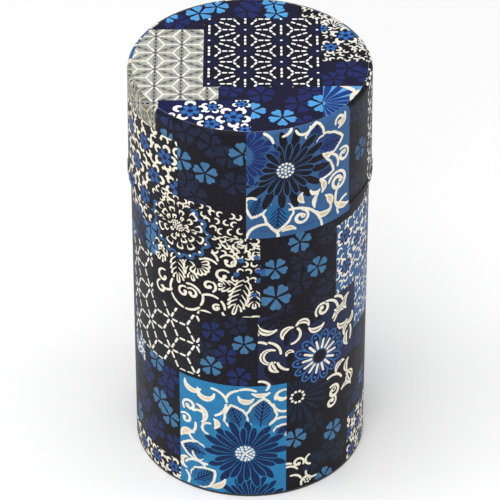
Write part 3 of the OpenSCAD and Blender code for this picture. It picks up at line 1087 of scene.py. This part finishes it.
def printed_sheet(name, outline, lines, patch_boxes, all_shapes, place, material):
    """Cuts the print inside an outline and wraps it as a closed sheet.
    place(flat points, depth) gives the points in mm and their normals."""
    window = box_of(outline)
    wanted = visible_shapes(patch_boxes, all_shapes, window)
    frames = [clip([(u0, z0), (u1, z0), (u1, z1), (u0, z1)], window)
              for (u0, u1, z0, z1), _ in patch_boxes.values()]
    outlines = [outline] + [f for f in frames if f] + [w[2] for w in wanted]
    points, edges = outline_edges(outlines)
    flat, faces, _ = triangulate(points, edges, lines)
    shape = np.array(outline)
    flat, faces, _ = keep_inside(flat, faces, shape, np.roll(shape, -1, axis=0))
    ink = print_inks(flat, faces, patch_boxes, wanted)

    edge = rim_of(faces)
    rim_points = np.unique(edge)
    row = np.zeros(len(flat), int)
    row[rim_points] = np.arange(len(rim_points))
    back, back_faces, became = triangulate(flat[rim_points], row[edge].tolist(), lines)
    back, back_faces, used = keep_inside(back, back_faces, flat[edge[:, 0]], flat[edge[:, 1]])
    became = np.searchsorted(used, became)

    front_points, front_normals = place(flat, 0.0)
    back_points, back_normals = place(back, PAPER_T)
    first = len(flat)
    a, b = edge[:, 0], edge[:, 1]
    under_a, under_b = first + became[row[a]], first + became[row[b]]
    rim_faces = np.concatenate([np.stack([b, a, under_a], 1), np.stack([b, under_a, under_b], 1)])
    all_faces = np.concatenate([faces, first + back_faces[:, ::-1], rim_faces])
    all_points = np.concatenate([front_points, back_points])

    mesh = bpy.data.meshes.new(name)
    mesh.from_pydata((all_points * MM).tolist(), [], all_faces.tolist())
    mesh.polygons.foreach_set("use_smooth", np.ones(len(all_faces), bool))
    normals = np.concatenate([front_normals, -back_normals])[all_faces]
    corner_a, corner_b, corner_c = all_points[rim_faces].transpose(1, 0, 2)
    rim_normals = np.cross(corner_b - corner_a, corner_c - corner_a)
    rim_normals /= np.maximum(np.linalg.norm(rim_normals, axis=1, keepdims=True), 1e-12)
    normals[-len(rim_faces):] = rim_normals[:, None, :]
    mesh.normals_split_custom_set(normals.reshape(-1, 3).tolist())
    unprinted = np.full(len(back_faces) + len(rim_faces), ink_names.index("rim"))
    inks = np.concatenate([ink, unprinted])
    colours = np.ones((len(all_faces), 3, 4))
    colours[:, :, :3] = ink_linear[inks][:, None, :]
    layer = mesh.color_attributes.new("ink", "FLOAT_COLOR", "CORNER")
    layer.data.foreach_set("color", colours.ravel())
    mesh.materials.append(material)
    mesh.update()
    piece = bpy.data.objects.new(name, mesh)
    bpy.context.collection.objects.link(piece)
    print(f"{name}: {len(wanted)} shapes, {len(faces)} printed facets, {len(all_faces)} in all")
    return piece
# %% [markdown]
# **Wrapping.** A wrap is a rule that turns a flat point into a place on the tin. For the body it is
# a plain cylinder. For the cap, the height becomes a distance along its outline: up the folded hem,
# up the slightly flared wall and over the rounded shoulder. The last few millimetres of each sheet
# go over its own start at the back, as a glued wrapper does, and the step is eased so that it
# doesn't look like a shelf.

# %% Places on the tin
def lap_rise(u):
    """How far the paper stands proud at u, where it climbs over its own start at the back."""
    t = np.clip((u - (HALF_TURN - LAP_EASE)) / LAP_EASE, 0.0, 1.0)
    return t * t * (3 - 2 * t) * PAPER_T


def turned(u, r, z, normal_r, normal_z):
    """Points and normals at distance u round the tin, for a radius and a height."""
    right, front = np.sin(u / BODY_R), -np.cos(u / BODY_R)
    points = np.stack([r * right, r * front, z], axis=1)
    return points, np.stack([normal_r * right, normal_r * front, normal_z], axis=1)


def on_body(flat, depth):
    u, z = flat[:, 0], flat[:, 1]
    r = BODY_R + lap_rise(u) - depth
    return turned(u, r, z, np.ones_like(u), np.zeros_like(u))


CAP_LOW_Z = side_low[2]
HEM_TOP_Z = CAP_LOW_Z + HEM_H
SLOPE = (WALL_LOW_R - WALL_TOP_R) / (SHOULDER_Z - CAP_LOW_Z)
SLOPE_NORMAL = (0.93, 0.37)


def on_cap(flat, depth):
    """v is the height up to the shoulder, and past it the distance over the shoulder's curve."""
    u, v = flat[:, 0], flat[:, 1]
    z = np.minimum(v, SHOULDER_Z)
    hem = np.clip((HEM_TOP_Z - z) / TIN_T, 0.0, 1.0) * TIN_T
    turn = np.clip((v - SHOULDER_Z) / SHOULDER_R, 0.0, math.pi / 2)
    wall_r = WALL_TOP_R + SLOPE * (SHOULDER_Z - z) + hem
    on_slope = (z > HEM_TOP_Z - TIN_T) & (z < HEM_TOP_Z)
    normal_r = np.where(on_slope, SLOPE_NORMAL[0], np.cos(turn))
    normal_z = np.where(on_slope, SLOPE_NORMAL[1], np.sin(turn))
    reach = SHOULDER_R - depth
    r = wall_r - SHOULDER_R + reach * np.cos(turn) + lap_rise(u) * np.cos(turn)
    height = z + (reach + lap_rise(u)) * np.sin(turn)
    return turned(u, r, height, normal_r, normal_z)


def on_disc(flat, depth):
    points = np.column_stack([flat, np.full(len(flat), disc_high[2] - depth)])
    return points, np.tile([0.0, 0.0, 1.0], (len(flat), 1))


BEND_DEGREES = 4.0


def columns(low, high):
    """Upright cuts all round the tin, so the sheet can bend."""
    step = math.radians(BEND_DEGREES) * BODY_R
    count = int(HALF_TURN / step)
    cuts = [k * step for k in range(-count, count + 1)]
    cuts += [HALF_TURN - LAP_EASE * t for t in (1.0, 0.66, 0.33, 0.0)] + [HALF_TURN + LAP / 2]
    return [((u, low), (u, high)) for u in cuts]


def strip(low, high):
    """The outline of a sheet that goes once round the tin and laps over its start."""
    return [(-HALF_TURN, low), (HALF_TURN + LAP, low), (HALF_TURN + LAP, high), (-HALF_TURN, high)]


print(f"once round is {2 * HALF_TURN:.1f} mm, and the lap adds {LAP:.0f}")

# %% [markdown]
# **Printed paper.** The finish is thin washi-like paper with a satin varnish. Its colour comes
# from the ink attribute of each facet. On top of that come slightly uneven ink, fine fibres that
# show as pale flecks in the dark ground, and a fine bump. All are far smaller than the motifs,
# because paper has no large texture.

# %% Printed paper
def node(tree, kind, **sockets):
    """A node with some of its inputs set, each to a value or to another node's output."""
    made = tree.nodes.new(kind)
    for name, value in sockets.items():
        feed(tree, value, made.inputs[name.replace("_", " ")])
    return made


def feed(tree, value, socket):
    if isinstance(value, bpy.types.NodeSocket):
        tree.links.new(value, socket)
    else:
        socket.default_value = value


def ranged(tree, value, low, high, start, end):
    """A value stretched from low..high to start..end."""
    return node(tree, "ShaderNodeMapRange", Value=value, From_Min=low, From_Max=high,
                To_Min=start, To_Max=end).outputs["Result"]


FACTOR, COLOUR_A, COLOUR_B = 0, 6, 7


def mixed(tree, blend, factor, first, second):
    """Two colours put together: multiplied, or mixed by a factor."""
    made = tree.nodes.new("ShaderNodeMix")
    made.data_type, made.blend_type = "RGBA", blend
    for socket, value in ((FACTOR, factor), (COLOUR_A, first), (COLOUR_B, second)):
        feed(tree, value, made.inputs[socket])
    return made.outputs[2]


def new_finish(name):
    """An empty finish: the material, its tree, the inputs of its shader and the place on the part."""
    finish = bpy.data.materials.new(name)
    finish.use_nodes = True
    tree = finish.node_tree
    place = tree.nodes.new("ShaderNodeTexCoord").outputs["Object"]
    return finish, tree, tree.nodes["Principled BSDF"].inputs, place


def noise(tree, place, **sockets):
    return node(tree, "ShaderNodeTexNoise", Vector=place, **sockets).outputs["Fac"]


def bumped(tree, height, strength, distance):
    return node(tree, "ShaderNodeBump", Height=height, Strength=strength,
                Distance=distance).outputs["Normal"]


def printed_paper():
    paper, tree, shader, place = new_finish("printed_paper")
    ink = tree.nodes.new("ShaderNodeAttribute")
    ink.attribute_name = "ink"
    cloud = noise(tree, place, Scale=420.0, Detail=3.0, Roughness=0.6)
    uneven = mixed(tree, "MULTIPLY", 1.0, ink.outputs["Color"], ranged(tree, cloud, 0.3, 0.7, 0.86, 1.1))
    along = node(tree, "ShaderNodeMapping", Vector=place, Rotation=(0.4, 0.7, 0.3), Scale=(1.0, 1.0, 0.22))
    fibre = noise(tree, along.outputs["Vector"], Scale=2600.0, Detail=2.0, Roughness=0.7, Distortion=1.2)
    fleck = ranged(tree, fibre, 0.56, 0.78, 0.0, 0.05)
    feed(tree, mixed(tree, "MIX", fleck, uneven, (0.55, 0.55, 0.58, 1.0)), shader["Base Color"])
    feed(tree, bumped(tree, fibre, 0.18, 0.00006), shader["Normal"])
    feed(tree, ranged(tree, cloud, 0.25, 0.75, 0.42, 0.56), shader["Roughness"])
    shader["Specular IOR Level"].default_value = 0.1
    return paper


paper_finish = printed_paper()
print("printed paper: ink, uneven ink, fibres, satin varnish")

# %% [markdown]
# **Cutting the three sheets.** The body and the cap take their print from the same layout, so the
# patches line up across the joint. The disc has its own. Each new sheet stands for the plain
# CAD paper that it covers.

# %% Body sheet
BODY_BOTTOM, BODY_TOP = paper_low[2], paper_high[2]
body_sheet = printed_sheet("body_print", strip(BODY_BOTTOM, BODY_TOP), columns(BODY_BOTTOM, BODY_TOP),
                           sheet_patches, sheet_shapes, on_body, paper_finish)
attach(body_sheet, "body")
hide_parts("body_paper")

# %% Cap side sheet
CAP_TOP_V = SHOULDER_Z + SHOULDER_R * math.pi / 2
RINGS = [HEM_TOP_Z - TIN_T, HEM_TOP_Z]
RINGS += [SHOULDER_Z + (CAP_TOP_V - SHOULDER_Z) * k / 7 for k in range(7)]
cap_lines = columns(CAP_LOW_Z, CAP_TOP_V) + [((-HALF_TURN, v), (HALF_TURN + LAP, v)) for v in RINGS]
cap_sheet = printed_sheet("cap_print", strip(CAP_LOW_Z, CAP_TOP_V), cap_lines,
                          sheet_patches, sheet_shapes, on_cap, paper_finish)
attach(cap_sheet, "cap")
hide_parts("cap_side_paper")

# %% Disc
disc_outline = [polar(0, 0, DISC_R, 2 * k) for k in range(180)]
disc_sheet = printed_sheet("cap_disc_print", disc_outline, [], disc_patches, disc_shapes,
                           on_disc, paper_finish)
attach(disc_sheet, "cap")
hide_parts("cap_top_paper")
# %% [markdown]
# ** Metal.** Tinplate is rolled steel with a thin coat of tin: a soft grey mirror with fine lines
# along the way it was rolled, and slightly cloudy patches. The base end is black as painted shade:
# it stands in for the shadow on the rolled foot edge, so the dark line under the paper comes from
# it. One function makes all three finishes, because they differ only in colour, roughness and the
# way their lines run.

# %% Tinplate, black base as painted shade, and knob
def metal(name, colour, smoothest, roughest, rolled, metallic):
    finish, tree, shader, place = new_finish(name)
    along = node(tree, "ShaderNodeMapping", Vector=place, Scale=rolled)
    lines = noise(tree, along.outputs["Vector"], Scale=1400.0, Detail=4.0, Roughness=0.65)
    cloud = noise(tree, place, Scale=60.0, Detail=3.0, Roughness=0.55)
    tone = ranged(tree, cloud, 0.3, 0.7, 0.88, 1.06)
    feed(tree, mixed(tree, "MULTIPLY", 1.0, colour, tone), shader["Base Color"])
    feed(tree, ranged(tree, lines, 0.3, 0.7, smoothest, roughest), shader["Roughness"])
    feed(tree, bumped(tree, lines, 0.05, 0.00002), shader["Normal"])
    shader["Metallic"].default_value = metallic
    return finish


tinplate = metal("tinplate", (0.60, 0.605, 0.61, 1.0), 0.26, 0.36, (1.0, 1.0, 0.06), 0.9)
# Painted shade: the base end's black stands in for the shadow on its rolled edge, the dark line under the
# paper.
base_painted_shade = metal("black_lacquer", (0.012, 0.012, 0.014, 1.0), 0.3, 0.42, (0.4, 0.4, 1.0), 0.0)
knob_finish = metal("knob_metal", (0.68, 0.68, 0.67, 1.0), 0.16, 0.24, (1.0, 1.0, 0.1), 0.95)
FINISHES = {
    tinplate: ["knob_rivet", "knob_washer", "cap_tube", "cap_top_plate"],
    base_painted_shade: ["base_plate"],
}
for finish, names in FINISHES.items():
    for name in names:
        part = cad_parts[name]
        part.data.materials.clear()
        part.data.materials.append(finish)
print("finished:", sum(len(names) for names in FINISHES.values()), "metal parts")

# %% [markdown]
# **Rolled and pressed tin.** The body's tube, the inner lid and its knob are the bare metal that
# shows when the cap is off. Each is an outline turned about the axis with a Screw modifier, in the
# same sizes as the CAD part that it replaces. Corners are given the radius that the press leaves on
# them, because light catches on those bends and a sharp corner looks like paper. The tube keeps its
# lap: a second strip of the same sheet, inside, at the back.

# %% Turned metal
TURN_STEPS = 144
BEND_STEPS = 6
SHARP_DEGREES = 32


def bent(corners, closed):
    """An outline from (r, z, bend radius) corners, each bend drawn as an arc."""
    outline = []
    for k, (r, z, bend) in enumerate(corners):
        if bend == 0 or (not closed and k in (0, len(corners) - 1)):
            outline.append((r, z))
            continue
        here = Vector((r, z))
        back = (Vector(corners[k - 1][:2]) - here).normalized()
        ahead = (Vector(corners[(k + 1) % len(corners)][:2]) - here).normalized()
        half = back.angle(ahead) / 2
        middle = here + (back + ahead).normalized() * (bend / math.sin(half))
        first = (here + back * (bend / math.tan(half)) - middle).normalized()
        last = (here + ahead * (bend / math.tan(half)) - middle).normalized()
        for i in range(BEND_STEPS + 1):
            outline.append(tuple(middle + bend * first.slerp(last, i / BEND_STEPS)))
    return outline


def turned_piece(name, outline, closed, finish, degrees=360.0, start=0.0):
    """An outline in (r, z) millimetres, turned about the axis into a closed shell."""
    count = len(outline)
    edges = [(k, (k + 1) % count) for k in range(count if closed else count - 1)]
    mesh = bpy.data.meshes.new(name)
    right, back = MM * math.cos(math.radians(start)), MM * math.sin(math.radians(start))
    mesh.from_pydata([(r * right, r * back, z * MM) for r, z in outline], edges, [])
    piece = bpy.data.objects.new(name, mesh)
    bpy.context.collection.objects.link(piece)
    bpy.ops.object.select_all(action="DESELECT")
    bpy.context.view_layer.objects.active = piece
    piece.select_set(True)
    turn = piece.modifiers.new("turn", "SCREW")
    turn.angle = math.radians(degrees)
    turn.steps = turn.render_steps = max(6, round(TURN_STEPS * degrees / 360))
    turn.use_merge_vertices, turn.merge_threshold = True, 1e-7
    bpy.ops.object.modifier_apply(modifier="turn")
    bpy.ops.object.mode_set(mode="EDIT")
    bpy.ops.mesh.select_all(action="SELECT")
    if degrees < 360:
        bpy.ops.mesh.select_non_manifold(extend=False)
        bpy.ops.mesh.edge_face_add()
        bpy.ops.mesh.select_all(action="SELECT")
    bpy.ops.mesh.normals_make_consistent(inside=False)
    bpy.ops.object.mode_set(mode="OBJECT")
    bpy.ops.object.shade_smooth_by_angle(angle=math.radians(SHARP_DEGREES))
    piece.data.materials.append(finish)
    piece.select_set(False)
    print(f"{name}: {len(piece.data.polygons)} facets")
    return piece


def stands_for(piece, cad_node, body):
    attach(piece, body)
    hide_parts(cad_node)


# %% Body tube with its rolled lip and its lap
neck_low, neck_high = in_mm("body_tube")
TUBE_R, MOUTH_Z = neck_high[0], neck_high[2]
LIP_R, FOLD_GAP, LAP_START = 0.9, 0.01, 3.2
lip_in, lip_low = TUBE_R - 2 * LIP_R, MOUTH_Z - 1.3 * LIP_R
lip_bend, inner_bend = LIP_R - FOLD_GAP, LIP_R - TIN_T - FOLD_GAP
tube_outline = bent([
    (TUBE_R, neck_low[2], 0), (TUBE_R, MOUTH_Z, LIP_R), (lip_in, MOUTH_Z, lip_bend),
    (lip_in, lip_low, 0), (lip_in + TIN_T, lip_low, 0), (lip_in + TIN_T, MOUTH_Z - TIN_T, inner_bend),
    (TUBE_R - TIN_T, MOUTH_Z - TIN_T, inner_bend), (TUBE_R - TIN_T, neck_low[2], 0)], True)
tube = turned_piece("neck_and_tube", tube_outline, True, tinplate)
LAP_TURN = math.degrees(LAP / (TUBE_R - TIN_T))
lap_in, lap_out = TUBE_R - 2 * TIN_T, TUBE_R - TIN_T / 2
lap_low, lap_high = neck_low[2] + LAP_START, MOUTH_Z - 2 * LIP_R
lap_outline = [(lap_in, lap_low), (lap_out, lap_low), (lap_out, lap_high), (lap_in, lap_high)]
lap = turned_piece("lap", lap_outline, True, tinplate, LAP_TURN, 90 - LAP_TURN / 2)
bpy.context.view_layer.objects.active = tube
tube.select_set(True)
lap.select_set(True)
bpy.ops.object.join()
tube.select_set(False)
stands_for(tube, "body_tube", "body")

# %% Inner lid
pan_low, pan_high = in_mm("inner_lid_pan")
FLANGE_R, FLANGE_Z, DISH_Z = pan_high[0], pan_high[2], pan_low[2] + TIN_T
PLUG_R, TAPER, DISH_BEND, BORE_R = lip_in - 0.1, 0.3, 1.5, 1.5
pan_outline = bent([
    (BORE_R, DISH_Z - TIN_T, 0), (PLUG_R - TAPER, DISH_Z - TIN_T, DISH_BEND),
    (PLUG_R, FLANGE_Z - TIN_T, 0.1),
    (FLANGE_R, FLANGE_Z - TIN_T, 0.1), (FLANGE_R, FLANGE_Z, 0.18), (PLUG_R - TIN_T, FLANGE_Z, 0.4),
    (PLUG_R - TIN_T - TAPER, DISH_Z, DISH_BEND - TIN_T), (BORE_R, DISH_Z, 0)], True)
pan = turned_piece("inner_lid", pan_outline, True, tinplate)
stands_for(pan, "inner_lid_pan", "inner_lid")

# %% Knob
knob_low, knob_high = in_mm("inner_lid_knob")
KNOB_R, KNOB_Z, KNOB_TOP = knob_high[0], knob_low[2], knob_high[2]
FOOT_R, FOOT_H, COVE_R, EDGE_R, BORE_TOP = 5.5, 0.8, 2.3, 1.0, 6.0
edge_z = KNOB_Z + FOOT_H + 2 * COVE_R + EDGE_R
drop = KNOB_TOP - edge_z
dome_r = ((KNOB_R - EDGE_R) ** 2 + drop ** 2 - EDGE_R ** 2) / (2 * (drop - EDGE_R))
dome_z = KNOB_TOP - dome_r
meet = math.degrees(math.atan2(edge_z - dome_z, KNOB_R - EDGE_R))
knob_outline = bent([
    (0, KNOB_Z + BORE_TOP, 0), (BORE_R, KNOB_Z + BORE_TOP, 0), (BORE_R, KNOB_Z, 0),
    (FOOT_R, KNOB_Z, 0.15), (FOOT_R, KNOB_Z + FOOT_H, 0.2), (FOOT_R - 0.5, KNOB_Z + FOOT_H, 0)],
    False)[:-1]
knob_outline += arc(FOOT_R, KNOB_Z + FOOT_H + COVE_R, COVE_R, 264, 90, 16)
knob_outline += arc(KNOB_R - EDGE_R, edge_z, EDGE_R, -90, meet, 12)
knob_outline += arc(0, dome_z, dome_r, meet, 90, 14)[1:]
knob_outline[-1] = (0.0, KNOB_TOP)
knob = turned_piece("knob", knob_outline, False, knob_finish)
stands_for(knob, "inner_lid_knob", "inner_lid")
